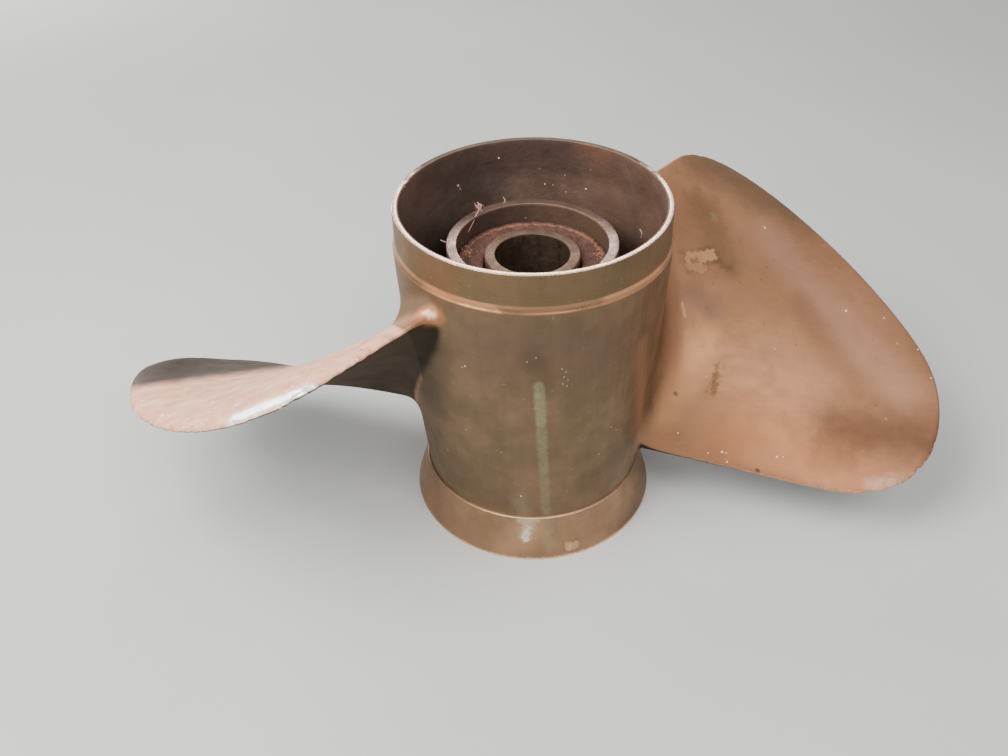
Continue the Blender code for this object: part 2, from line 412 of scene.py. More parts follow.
def rounded(corner, before, after, radius, steps=4):
    """Points that round a profile's corner with an arc-like curve of about that radius."""
    corner, before, after = Vector(corner), Vector(before), Vector(after)
    start = corner + (before - corner).normalized() * radius
    end = corner + (after - corner).normalized() * radius
    points = []
    for step in range(steps + 1):
        share = step / steps
        rest = 1 - share
        points.append(tuple(rest * rest * start + 2 * rest * share * corner + share * share * end))
    return points


def line_points(start, end, step):
    """Points between two profile points, about a step apart, with neither end."""
    start, end = Vector(start), Vector(end)
    count = max(1, int((end - start).length / step))
    return [tuple(start.lerp(end, index / count)) for index in range(1, count)]


def profile_of(corners, closed=True):
    """A profile through corners (radius, height, rounding, step of the line before it)."""
    points = []
    for index, (radius, height, rounding, step) in enumerate(corners):
        before = corners[index - 1][:2]
        after = corners[(index + 1) % len(corners)][:2]
        here = (radius, height)
        bend = rounded(here, before, after, rounding) if rounding > 0 else [here]
        if points:
            points += line_points(points[-1], bend[0], step)
        points += bend
    if closed:
        points += line_points(points[-1], points[0], corners[0][3])
    return points


def barrel_profile():
    """From the shoulder up over the lip and down the inner wall to the aft end."""
    profile = []
    for step in range(COVE_STEPS):
        share = step / COVE_STEPS
        reach = LIP_RADIUS + (SHOULDER_RADIUS - LIP_RADIUS) * (1 - share) ** COVE_CURVE
        profile.append((reach, SHOULDER_HEIGHT + share * SHOULDER_LENGTH))
    lip = (
        (LIP_RADIUS, LIP_BOTTOM, 0, WALL_STEP),
        (RIM_RADIUS, HUB_LENGTH, RIM_EDGE, WALL_STEP),
        (RIM_RADIUS - BARREL_WALL, HUB_LENGTH, RIM_EDGE, WALL_STEP),
        (SHOULDER_RADIUS - BARREL_WALL, SHOULDER_HEIGHT, 0, WALL_STEP),
    )
    profile += profile_of(lip, closed=False)[:-1]
    for step in range(WALL_STEPS + 1):
        height = SHOULDER_HEIGHT - (SHOULDER_HEIGHT - BARREL_BOTTOM) * step / WALL_STEPS
        profile.append((barrel_radius(height) - BARREL_WALL, height))
    profile.append((NECK_RADIUS, BARREL_BOTTOM))
    return profile


def shell_with_blades():
    data = bmesh.new()
    for blade in BLADES:
        add_blade(data, blade)
        add_barrel_patch(data, blade)
    add_rings(data, barrel_profile())
    hub = [vert for vert in data.verts if vert.co.xy.length < SHOULDER_RADIUS + WELD_REACH]
    bmesh.ops.remove_doubles(data, verts=hub, dist=WELD)
    bmesh.ops.recalc_face_normals(data, faces=data.faces)
    return data


# Turned pieces

def turned(corners, segments, reshape=None):
    """A closed ring turned about the axis; its profile runs up the outside and down the inside."""
    data = bmesh.new()
    rings = []
    for radius, height in profile_of(corners):
        ring = []
        for side in range(segments):
            angle = 2 * math.pi * side / segments
            reach, level = (radius, height) if reshape is None else reshape(radius, angle, height)
            ring.append(data.verts.new(cylinder_point(reach, angle, level)))
        rings.append(ring)
    bridge(data, rings + rings[:1])
    bmesh.ops.recalc_face_normals(data, faces=data.faces)
    return data


def rib_box(turn):
    """A flat rib from inside the tube's wall to inside the barrel's wall."""
    data = bmesh.new()
    inner = TUBE_RADIUS - 0.5 * TUBE_WALL
    half = 0.5 * RIB_THICKNESS
    rings = []
    for height in (RIB_BOTTOM, RIB_TOP):
        outer = barrel_radius(height) - 0.5 * BARREL_WALL
        corners = ((inner, -half), (outer, -half), (outer, half), (inner, half))
        rings.append([data.verts.new((x, y, height)) for x, y in corners])
    data.faces.new(reversed(rings[0]))
    data.faces.new(rings[1])
    bridge(data, rings)
    bmesh.ops.rotate(data, verts=data.verts, matrix=around_axis(turn))
    return data


def tube_data():
    inner = TUBE_RADIUS - TUBE_WALL
    corners = (
        (TUBE_RADIUS, TUBE_BOTTOM, TUBE_EDGE, 0.002),
        (TUBE_RADIUS + TUBE_LIP, TUBE_TOP, RIM_EDGE, 0.006),
        (inner - 2 * TUBE_LIP, TUBE_TOP, RIM_EDGE, 0.001),
        (inner, bush_high.z + TUBE_BORE_STEP, 0, 0.004),
        (inner, TUBE_BOTTOM, TUBE_EDGE, 0.006),
    )
    return turned(corners, TUBE_SEGMENTS)


def unite(target, others):
    """Joins solids into the target with exact unions, and removes them."""
    for other in others:
        union = target.modifiers.new("union", "BOOLEAN")
        union.operation = "UNION"
        union.solver = "EXACT"
        union.object = other
    bpy.context.view_layer.update()
    graph = bpy.context.evaluated_depsgraph_get()
    mesh = bpy.data.meshes.new_from_object(target.evaluated_get(graph))
    target.modifiers.clear()
    old = target.data
    target.data = mesh
    bpy.data.meshes.remove(old)
    for other in others:
        bpy.data.objects.remove(other, do_unlink=True)


def blade_edge_points():
    """Points along the edges and tips of both blades."""
    points = []
    for blade in BLADES:
        for section in blade.sections[FILLET_ROWS:]:
            points += [blade.spin @ section[0], blade.spin @ section[SECTION_POINTS // 2]]
        points += [blade.spin @ point for point in blade.sections[-1]]
    return points


def add_edge_distance(mesh):
    """Stores each vertex's distance from the nearest blade edge."""
    points = blade_edge_points()
    tree = KDTree(len(points))
    for index, point in enumerate(points):
        tree.insert(point, index)
    tree.balance()
    layer = mesh.attributes.new("edge_distance", "FLOAT", "POINT")
    for vertex in mesh.vertices:
        layer.data[vertex.index].value = tree.find(vertex.co)[2]


# Nicks of the blades' edges and of the rim: pixel, depth and width in metres
EDGE_NICKS = (
    ((915, 468), 0.0010, 0.0012), ((923, 461), 0.0006, 0.0009), ((934, 444), 0.0005, 0.0010),
    ((937, 407), 0.0005, 0.0007), ((870, 488), 0.0005, 0.0014), ((730, 465), 0.0005, 0.0009),
    ((303, 391), 0.0010, 0.0011), ((312, 387), 0.0008, 0.0010), ((320, 384), 0.0011, 0.0010),
    ((327, 381), 0.0013, 0.0011), ((334, 377), 0.0009, 0.0010), ((341, 373), 0.0014, 0.0012),
    ((352, 366), 0.0012, 0.0010), ((362, 360), 0.0015, 0.0012), ((374, 352), 0.0010, 0.0010),
    ((141, 416), 0.0010, 0.0010), ((152, 423), 0.0011, 0.0010), ((166, 428), 0.0010, 0.0009),
    ((199, 431), 0.0009, 0.0009), ((222, 429), 0.0008, 0.0010), ((262, 415), 0.0008, 0.0010),
)
RIM_NICKS = (
    ((406, 181), 0.0006, 0.0012), ((400, 187), 0.0004, 0.0010), ((664, 171), 0.0005, 0.0011),
    ((412, 262), 0.0003, 0.0010), ((640, 158), 0.0004, 0.0011),
)
DENT_REACH = 3
NICK_INWARD = 0.92
NICK_FROM_TIP = 0.001


def dent(mesh, centre, inward, depth, width):
    """Pushes the vertices near a point inward, most of all at the point."""
    for vertex in mesh.vertices:
        off = (vertex.co - centre).length / width
        if off < DENT_REACH:
            vertex.co += inward * depth * math.exp(-off * off)


def carve_nicks(item, photo):
    edge_points = blade_edge_points()
    for pixel, depth, width in EDGE_NICKS:
        place = photo.nearest(pixel, edge_points)
        blade = BLADES[0 if place.x > 0 else 1]
        radius = place.xy.length
        middle = 0.5 * sum(blade.edges(min(radius, blade.tip_radius - NICK_FROM_TIP)))
        inner = blade.spin @ helix_point(NICK_INWARD * radius, middle, 0, 0)
        dent(item.data, place, (inner - place).normalized(), depth, width)
    for pixel, depth, width in RIM_NICKS:
        place, _ = photo.point(pixel)
        dent(item.data, place, Vector((0, 0, -1)), depth, width)


def casting():
    item = add_object("casting", shell_with_blades())
    core = [add_object("tube_blank", tube_data())]
    for number in range(RIB_COUNT):
        rib = rib_box(2 * math.pi * number / RIB_COUNT)
        core.append(add_object("rib_blank_%d" % number, rib))
    unite(item, core)
    add_edge_distance(item.data)
    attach(item, "root")
    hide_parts("propeller_casting")
    return item


# Ring that the propeller stands on

FLARE_LEDGE = 0.0009
FLARE_RADIUS = ring_high.x
FLARE_BELL = 1.05
FLARE_EDGE = 0.0006
FLARE_STEPS = 16
SPIGOT_WALL = 0.0016
SPIGOT_EDGE = 0.0003
CLEARANCE = 0.0003
SEAM = 0.00003
RING_SEGMENTS = 240


def flare_radius(share):
    """Outer radius of the ring, from a small ledge at the barrel to the aft face."""
    start = NECK_RADIUS + FLARE_LEDGE
    return start + (FLARE_RADIUS - start) * share ** FLARE_BELL


def ring_corners():
    """From the aft face up the flare, over the ledge and the spigot, and down inside."""
    top = BARREL_BOTTOM - SEAM
    spigot = NECK_RADIUS - BARREL_WALL - CLEARANCE
    flare = []
    for step in range(FLARE_STEPS - 1, 0, -1):
        share = step / FLARE_STEPS
        flare.append((flare_radius(share), top * (1 - share), 0, 0.002))
    return (
        (FLARE_RADIUS - BARREL_WALL, 0.0, FLARE_EDGE, 0.002),
        (FLARE_RADIUS, 0.0, FLARE_EDGE, 0.001),
        *flare,
        (NECK_RADIUS + FLARE_LEDGE, top, SPIGOT_EDGE, 0.002),
        (spigot, top, 0.0002, 0.002),
        (spigot, ring_high.z, SPIGOT_EDGE, 0.003),
        (spigot - SPIGOT_WALL, ring_high.z, SPIGOT_EDGE, 0.001),
        (spigot - SPIGOT_WALL, top, SPIGOT_EDGE, 0.003),
        *((reach - BARREL_WALL, *others) for reach, *others in flare[-2::-1]),
    )


def flared_ring():
    item = add_object("ring_on_foot", turned(ring_corners(), RING_SEGMENTS))
    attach(item, "root")
    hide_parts("flared_ring")
    return item


# Rubber bush and splined sleeve

BUSH_SEGMENTS = 360
BUSH_SHARP = math.radians(75)
BUSH_EDGE = 0.0010
BUSH_WEAR = (0.004, 0.001)
BUSH_LUMP = 0.0007
BUSH_RISE = 0.0008
LUMP_SCALE = 260
GRAIN_SCALE = 900
# Cracks: turn about the axis, depth and width
CRACKS = ((math.radians(24), 0.0011, 0.0005), (math.radians(30), 0.0007, 0.0004),
          (math.radians(151), 0.0006, 0.0005), (math.radians(214), 0.0009, 0.0006))
CRACK_WANDER = 0.0012
CRACK_SCALE = 500
SLEEVE_EDGE = 0.0006
SLEEVE_SHARP = math.radians(35)
COUNTERBORE_DEPTH = 0.0240
COUNTERBORE_RADIUS = 0.0146
SPLINE_COUNT = 15
SPLINE_SEGMENTS = 24
SPLINE_ROOT_RADIUS = 0.0140
SPLINE_TIP_RADIUS = 0.0128
SPLINE_LEAD_IN = 0.0008
TOOTH_SHARE = 0.33
FLANK_SHARE = 0.12


def worn_rubber(radius, angle, height):
    """Lowers the rubber's front face with lumps, and with cracks that run in from its edge."""
    near_top = smooth_share(height, *(bush_high.z - depth for depth in BUSH_WEAR))
    place = cylinder_point(radius, angle, 0)
    coarse = noise.noise(place * LUMP_SCALE) * 0.5 + 0.5
    fine = noise.noise(place * GRAIN_SCALE + Vector((5, 5, 5))) * 0.5 + 0.5
    drop = BUSH_LUMP * (0.75 * coarse * coarse + 0.35 * fine)
    outward = smooth_share(radius, 0.5 * (bush_high.x + sleeve_high.x), bush_high.x)
    drop -= BUSH_RISE * outward
    for turn, depth, width in CRACKS:
        wander = CRACK_WANDER * noise.noise(Vector((radius * CRACK_SCALE, turn, 0)))
        off = (math.remainder(angle - turn, 2 * math.pi) * radius + wander) / width
        drop += depth * outward * math.exp(-off * off)
    return radius, height - near_top * drop


def rubber_bush(material):
    outer = bush_high.x
    inner = sleeve_high.x + CLEARANCE
    low, top = bush_low.z, bush_high.z
    corners = (
        (inner, low, BUSH_EDGE, 0.004),
        (outer, low, BUSH_EDGE, 0.004),
        (outer, top, 0.0012, 0.008),
        (inner + 0.0002, top, 0.0011, 0.0007),
        (inner, top - 0.0050, 0, 0.001),
    )
    data = turned(corners, BUSH_SEGMENTS, worn_rubber)
    item = add_object("rubber_ring", data, material, sharp=BUSH_SHARP)
    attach(item, "root")
    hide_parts("rubber_bush")
    return item


def splined_bore(radius, angle, height):
    """Turns the deep part of the sleeve's bore into flat-topped teeth with sloping flanks."""
    if radius > SPLINE_ROOT_RADIUS + 0.0001:
        return radius, height
    share = (angle * SPLINE_COUNT / (2 * math.pi)) % 1.0
    rise = smooth_share(TOOTH_SHARE - abs(share - 0.5), 0.0, FLANK_SHARE)
    depth = (SPLINE_ROOT_RADIUS - SPLINE_TIP_RADIUS) * rise
    lead_in = smooth_share(sleeve_high.z - COUNTERBORE_DEPTH - height, 0.0, SPLINE_LEAD_IN)
    return radius - depth * lead_in, height


def splined_sleeve(material):
    outer = sleeve_high.x
    low, top = sleeve_low.z, sleeve_high.z
    shelf = top - COUNTERBORE_DEPTH
    corners = (
        (SPLINE_ROOT_RADIUS, low, 0, 0.008),
        (outer, low, SLEEVE_EDGE, 0.003),
        (outer, top, SLEEVE_EDGE, 0.012),
        (COUNTERBORE_RADIUS, top, SLEEVE_EDGE, 0.002),
        (COUNTERBORE_RADIUS, shelf, 0, 0.006),
        (SPLINE_ROOT_RADIUS, shelf, 0, 0.001),
        (SPLINE_ROOT_RADIUS, shelf - 0.0009, 0, 0.0002),
    )
    data = turned(corners, SPLINE_COUNT * SPLINE_SEGMENTS, splined_bore)
    item = add_object("sleeve_with_splines", data, material, sharp=SLEEVE_SHARP)
    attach(item, "root")
    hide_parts("splined_sleeve")
    return item


# Camera, and the places that the photo's pixels show

CAMERA_PLACE = (0.0, -0.31206, 0.31457)
CAMERA_YAW = math.radians(-2.281)
CAMERA_PITCH = math.radians(39.498)
CAMERA_ROLL = math.radians(-1.498)
CAMERA_LENS = 33.17
CAMERA_SENSOR = 36.0
CAMERA_CLIP = (0.01, 50.0)
PHOTO_WIDTH = 1008
PHOTO_HEIGHT = 756
PHOTO_MIDDLE = (500, 300)
EDGE_TRIES = 12
EDGE_STEP = 0.01


def make_camera():
    data = bpy.data.cameras.new("camera")
    data.sensor_width = CAMERA_SENSOR
    data.lens = CAMERA_LENS
    data.clip_start, data.clip_end = CAMERA_CLIP
    item = link("camera", data)
    ahead = Vector((
        math.sin(CAMERA_YAW) * math.cos(CAMERA_PITCH),
        math.cos(CAMERA_YAW) * math.cos(CAMERA_PITCH),
        -math.sin(CAMERA_PITCH),
    ))
    right = ahead.cross(Vector((0, 0, 1))).normalized()
    up = right.cross(ahead)
    side = right * math.cos(CAMERA_ROLL) + up * math.sin(CAMERA_ROLL)
    top = up * math.cos(CAMERA_ROLL) - right * math.sin(CAMERA_ROLL)
    matrix = Matrix((side, top, -ahead)).transposed().to_4x4()
    matrix.translation = Vector(CAMERA_PLACE)
    item.matrix_world = matrix
    bpy.context.scene.camera = item
    return matrix


class Photo:
    """Finds the surface point that a pixel of the photo shows."""

    def __init__(self, matrix, pieces):
        self.matrix = matrix
        self.trees = []
        for piece in pieces:
            corners = [vert.co.copy() for vert in piece.data.vertices]
            faces = [tuple(face.vertices) for face in piece.data.polygons]
            self.trees.append(BVHTree.FromPolygons(corners, faces))

    def ray(self, pixel):
        unit = CAMERA_SENSOR / PHOTO_WIDTH
        across = (pixel[0] - 0.5 * PHOTO_WIDTH) * unit
        up = (0.5 * PHOTO_HEIGHT - pixel[1]) * unit
        return (self.matrix.to_3x3() @ Vector((across, up, -CAMERA_LENS))).normalized()

    def cast(self, pixel):
        start = self.matrix.translation
        ray = self.ray(pixel)
        best = None
        for tree in self.trees:
            place, normal, _, distance = tree.ray_cast(start, ray)
            if place is not None and (best is None or distance < best[2]):
                best = (place, normal if normal.dot(ray) < 0 else -normal, distance)
        return best

    def nearest(self, pixel, points):
        """The one of several points that shows nearest to a pixel."""
        ray = self.ray(pixel)
        start = self.matrix.translation
        return min(points, key=lambda point: (point - start).cross(ray).length)

    def point(self, pixel):
        """Surface point and outward normal at a pixel, or just inside the outline near it."""
        x, y = pixel
        for _ in range(EDGE_TRIES):
            found = self.cast((x, y))
            if found is not None:
                return found[:2]
            x += EDGE_STEP * (PHOTO_MIDDLE[0] - x)
            y += EDGE_STEP * (PHOTO_MIDDLE[1] - y)
        raise ValueError("no surface at pixel %s" % (pixel,))


# Material nodes

TINY = 1e-10
NOISE_ROUGHNESS = 0.55
NOISE_SPAN = (0.30, 0.70)
# Half widths of the marks that are thinned in places, and of those with broadly ragged edges
SMALL_REACH = (0.0012, 0.0025)
BROAD_REACH = 0.004
# Noises that all of a material's marks share: scale per metre, detail and shift
FINE_EDGES = (620, 4.0, 30)
BROAD_EDGES = (130, 4.0, 30)
THINNING = (420, 5, 31)
# Noise values over which thinned marks change, and their strengths there
THIN_SPAN = (0.36, 0.60, 0.65, 1.0)


class Value:
    """A node's output, with plus, minus and times; colours are tuples of display values."""

    def __init__(self, graph, socket):
        self.graph = graph
        self.socket = socket

    def __add__(self, other):
        return self.graph.math("ADD", self, other)

    def __sub__(self, other):
        return self.graph.math("SUBTRACT", self, other)

    def __rsub__(self, other):
        return self.graph.math("SUBTRACT", other, self)

    def __mul__(self, other):
        return self.graph.math("MULTIPLY", self, other)

    __radd__ = __add__
    __rmul__ = __mul__


class Graph:
    """A material's node tree, with a short call for each kind of node."""

    def __init__(self, name, roughness=0.5, metallic=1.0):
        self.material = bpy.data.materials.new(name)
        self.material.use_nodes = True
        self.tree = self.material.node_tree
        self.shader = self.tree.nodes["Principled BSDF"]
        self.set("Roughness", roughness)
        self.set("Metallic", metallic)
        self.place = Value(self, self.node("TexCoord").outputs["Object"])
        self.x, self.y, self.z = self.parts("SeparateXYZ", self.place)
        self.reach = self.vector("LENGTH", self.vector("MULTIPLY", self.place, (1, 1, 0)))
        self.shared = {}

    def feed(self, socket, value):
        if isinstance(value, Value):
            self.tree.links.new(value.socket, socket)
        else:
            socket.default_value = value

    def set(self, name, value):
        self.feed(self.shader.inputs[name], value)

    def node(self, kind, inputs=None, **settings):
        """A new node with its settings and inputs."""
        made = self.tree.nodes.new("ShaderNode" + kind)
        for name, value in settings.items():
            setattr(made, name, value)
        for name, value in (inputs or {}).items():
            self.feed(made.inputs[name], value)
        return made

    def parts(self, kind, value):
        return [Value(self, part) for part in self.node(kind, {0: value}).outputs]

    def math(self, operation, first, second=0.0, clamp=False):
        inputs = {0: first, 1: second}
        made = self.node("Math", inputs, operation=operation, use_clamp=clamp)
        return Value(self, made.outputs[0])

    def vector(self, operation, first, second=(0, 0, 0)):
        inputs = {0: first, "Scale" if operation == "SCALE" else 1: second}
        made = self.node("VectorMath", inputs, operation=operation)
        scalar = operation in ("LENGTH", "DOT_PRODUCT")
        return Value(self, made.outputs["Value" if scalar else "Vector"])

    def step(self, value, low, high, start=0.0, end=1.0):
        """Smooth change from start to end while the value goes from low to high."""
        names = ("Value", "From Min", "From Max", "To Min", "To Max")
        inputs = dict(zip(names, (value, low, high, start, end)))
        made = self.node("MapRange", inputs, interpolation_type="SMOOTHSTEP")
        return Value(self, made.outputs[0])

    def fall(self, value, low, high):
        """Smooth change from 1 to 0 while the value goes from low to high."""
        return self.step(value, low, high, 1.0, 0.0)

    def mix(self, share, *colors):
        """The first colour where the share is 0 and the second where it is 1."""
        first, second = ((*tone(*color), 1.0) if isinstance(color, tuple) else color
                         for color in colors)
        made = self.node("Mix", {0: share, 6: first, 7: second}, data_type="RGBA")
        return Value(self, made.outputs[2])

    def tint(self, color, *layers):
        """Layers (mask, strength, tone) one over another on a colour."""
        for mask, strength, over in layers:
            color = self.mix(mask * strength, color, over)
        return color

    def noise(self, scale, detail=4.0, stretch=(1, 1, 1), shift=0.0):
        """Noise of a scale per metre, spread to about 0 to 1; stretch scales each axis."""
        place = self.vector("MULTIPLY", self.place, tuple(scale * part for part in stretch))
        place = self.vector("ADD", place, (shift, 2 * shift, 3 * shift))
        inputs = {"Vector": place, "Scale": 1.0, "Detail": detail, "Roughness": NOISE_ROUGHNESS}
        return self.step(Value(self, self.node("TexNoise", inputs).outputs[0]), *NOISE_SPAN)

    def dots(self, scale, size, share, shift):
        """Round dots of about a size, one in some of the cells of a scale per metre."""
        place = self.vector("ADD", self.vector("SCALE", self.place, scale), (shift,) * 3)
        cells = self.node("TexVoronoi", {"Vector": place, "Scale": 1.0}).outputs
        red, green, _ = self.parts("SeparateColor", Value(self, cells["Color"]))
        near = self.math("LESS_THAN", Value(self, cells["Distance"]), green * (size * scale))
        return self.math("LESS_THAN", red, share) * near

    def shared_noise(self, scale, detail, shift):
        """Noise that is made once for each material."""
        if scale not in self.shared:
            self.shared[scale] = self.noise(scale, detail, shift=shift)
        return self.shared[scale]

    def ragged(self, distance, depth, broad=False):
        """A distance made uneven by up to half a depth either way."""
        uneven = self.shared_noise(*(BROAD_EDGES if broad else FINE_EDGES))
        return distance + (uneven - 0.5) * depth

    def sight_line(self, photo, first, last):
        """Distance from the plane that the photo shows as a line, positive above it."""
        normal = photo.ray(last).cross(photo.ray(first)).normalized()
        offset = self.vector("SUBTRACT", self.place, tuple(photo.matrix.translation))
        return self.vector("DOT_PRODUCT", offset, tuple(normal))

    def mark(self, photo, pixels, reach, soft, rough):
        """Mask of a mark between two pixels: 1 inside its reach, with a soft or ragged edge."""
        start, end = (photo.point(pixel)[0] for pixel in pixels)
        along = end - start
        offset = self.vector("SUBTRACT", self.place, tuple(start))
        share = self.vector("DOT_PRODUCT", offset, tuple(along / max(along.length_squared, TINY)))
        share = self.math("ADD", share, clamp=True)
        off_line = self.vector("SUBTRACT", offset, self.vector("SCALE", tuple(along), share))
        distance = self.ragged(self.vector("LENGTH", off_line), rough * reach, reach > BROAD_REACH)
        return self.fall(distance, reach * (1 - soft), reach * (1 + soft))

    def marks(self, color, photo, marks):
        """Marks of the photo, the small ones a little uneven inside."""
        density = self.step(self.shared_noise(*THINNING), *THIN_SPAN)
        for first, last, reach, soft, rough, strength, over in marks:
            mask = self.mark(photo, (first, last), reach, soft, rough)
            if SMALL_REACH[0] < reach < SMALL_REACH[1]:
                mask *= density
            color = self.tint(color, (mask, strength, over))
        return color

    def facing(self, direction=(0, 0, 1)):
        """How far the surface faces a direction, from -1 to 1."""
        normal = Value(self, self.node("NewGeometry").outputs["Normal"])
        return self.vector("DOT_PRODUCT", normal, direction)

    def attribute(self, name):
        return Value(self, self.node("Attribute", attribute_name=name).outputs["Fac"])

    def relief(self, *layers):
        """Bump from (height, depth in metres) layers, one over another."""
        inputs = {}
        for height, depth in layers:
            made = self.node("Bump", {"Height": height, "Distance": depth, **inputs})
            inputs = {"Normal": Value(self, made.outputs[0])}
        self.set("Normal", inputs["Normal"])


def tone(red, green, blue):
    """Linear colour of a tone named by its display values."""
    return tuple(((value / 255 + 0.055) / 1.055) ** 2.4 for value in (red, green, blue))


# Bronze of the casting

# Marks: start and end pixel, half width in metres, softness, unevenness, strength, tone
BARREL_MARKS = (
    ((500, 350), (600, 352), 0.0130, 0.85, 0.4, 0.45, (104, 82, 74)),
    ((528, 356), (545, 374), 0.0045, 0.85, 0.5, 0.45, (84, 74, 56)),
    ((539, 386), (541, 424), 0.0019, 0.35, 0.25, 0.40, (168, 170, 132)),
    ((540, 396), (546, 512), 0.0020, 0.35, 0.25, 0.32, (152, 154, 116)),
    ((541, 430), (544, 470), 0.0019, 0.40, 0.25, 0.18, (152, 154, 116)),
    ((519, 500), (524, 516), 0.0030, 0.95, 0.9, 0.17, (166, 166, 146)),
    # Painted reflection of the right blade: an orange-pink streak near the barrel's right edge
    ((640, 445), (642, 345), 0.0036, 0.95, 0.2, 0.35, (188, 146, 112)),
    ((455, 470), (480, 500), 0.0090, 0.90, 0.5, 0.35, (96, 84, 62)),
    ((600, 480), (622, 440), 0.0090, 0.90, 0.5, 0.35, (98, 78, 56)),
)
BLADE_MARKS = (
    ((698, 158), (790, 210), 0.0125, 0.90, 0.3, 0.62, (98, 82, 62)),
    ((702, 206), (728, 262), 0.0075, 0.85, 0.5, 0.50, (106, 86, 58)),
    ((770, 236), (905, 388), 0.0085, 0.85, 0.3, 0.35, (204, 156, 132)),
    ((803, 305), (858, 392), 0.0062, 0.90, 0.3, 0.45, (134, 94, 70)),
    # Painted highlight: warm light band along the right blade's lower root fillet
    ((706, 336), (662, 412), 0.0065, 0.85, 0.2, 0.50, (226, 164, 114)),
    ((742, 436), (846, 468), 0.0140, 0.95, 0.2, 0.50, (168, 104, 64)),
    ((838, 430), (918, 440), 0.0115, 1.15, 0.3, 0.82, (96, 64, 46)),
    ((690, 292), (712, 308), 0.0046, 0.75, 0.5, 0.45, (128, 98, 88)),
    ((690, 261), (712, 257), 0.0046, 0.50, 0.9, 0.45, (104, 80, 58)),
    ((690, 258), (712, 255), 0.0026, 0.14, 0.6, 0.85, (216, 158, 120)),
    ((690, 263), (700, 268), 0.0027, 0.14, 0.6, 0.70, (204, 150, 114)),
    ((692, 261), (697, 260), 0.0011, 0.60, 0.9, 0.60, (116, 104, 66)),
    ((718, 262), (730, 268), 0.0016, 0.90, 1.4, 0.45, (88, 64, 46)),
    ((714, 215), (714, 218), 0.0015, 0.80, 0.9, 0.40, (152, 156, 130)),
    ((682, 303), (685, 316), 0.0006, 0.80, 0.5, 0.55, (226, 176, 142)),
    ((718, 366), (713, 392), 0.0012, 0.95, 1.8, 0.60, (104, 78, 46)),
    ((715, 382), (711, 390), 0.0020, 0.95, 1.6, 0.45, (112, 84, 52)),
    ((675, 393), (676, 394), 0.0008, 0.50, 0.3, 0.60, (76, 54, 40)),
    ((872, 485), (890, 482), 0.0024, 0.95, 0.9, 0.30, (204, 188, 174)),
    ((757, 470), (758, 471), 0.0007, 0.40, 0.3, 0.70, (72, 52, 40)),
)
INNER_MARKS = (
    ((470, 165), (560, 152), 0.0150, 0.85, 0.5, 0.62, (62, 48, 48)),
    ((588, 143), (602, 152), 0.0045, 0.85, 0.5, 0.30, (150, 102, 72)),
)
# Dull patch at the left blade's root
DULL_ROOT = ((398, 316), (419, 309))
DULL_REACH = 0.0052
ROOT_MARKS = (
    # Painted shadow of the left blade on the barrel below its root
    ((424, 350), (428, 398), 0.0080, 0.95, 0.2, 0.50, (62, 56, 46)),
    ((397, 316), (421, 308), 0.0046, 0.90, 0.3, 0.80, (102, 80, 61)),
    # Painted highlight: a star-shaped glint with a warm halo, in three marks
    ((423, 313), (434, 317), 0.0026, 1.10, 0.2, 0.75, (226, 150, 100)),
    ((425, 313), (433, 316), 0.0010, 1.20, 0.1, 1.00, (255, 226, 188)),
    ((428, 311), (429, 318), 0.0006, 1.30, 0.1, 0.95, (255, 220, 180)),
)
# Pixels of the left blade: the two lines below its painted shade, the line where its pale strip of
# painted highlight ends, and its white stripe of painted highlight
SHADE_LINE = ((133, 390), (290, 369))
SHADE_END = ((280, 372), (395, 318))
STRIP_END = ((392, 324), (406, 331))
STRIPE = ((237, 417), (306, 393))
STRIPE_REACH = 0.0028
BLADE_MIDDLE = (-0.115, 0, 0.06)
EDGE_WEAR = 0.0011
# Depths below the rim's and the tube's faces where their face tone starts and is full: a painted
# highlight on the rim, wear on the tube
FACE_DEPTH = (0.0008, 0.0005)
# Places along y over which the rim's painted highlight gives way to a darker back, and the tube's
# worn face to a tarnished back
RIM_HIGHLIGHT_FADE = (0.008, 0.030)
FACE_TARNISH = (0.002, 0.022)
BUSH_RING_DEPTH = 0.0022


def skin_distance(graph):
    """How far a place lies outside the barrel's outer skin, below the shoulder."""
    length = SHOULDER_HEIGHT - BARREL_BOTTOM
    share = graph.math("DIVIDE", graph.z - BARREL_BOTTOM, length)
    share = graph.math("MINIMUM", share, 1.0)
    bulge = share * (1.0 - share) * (4 * BARREL_BULGE)
    return graph.reach - (share * (SHOULDER_RADIUS - NECK_RADIUS) + bulge + NECK_RADIUS)


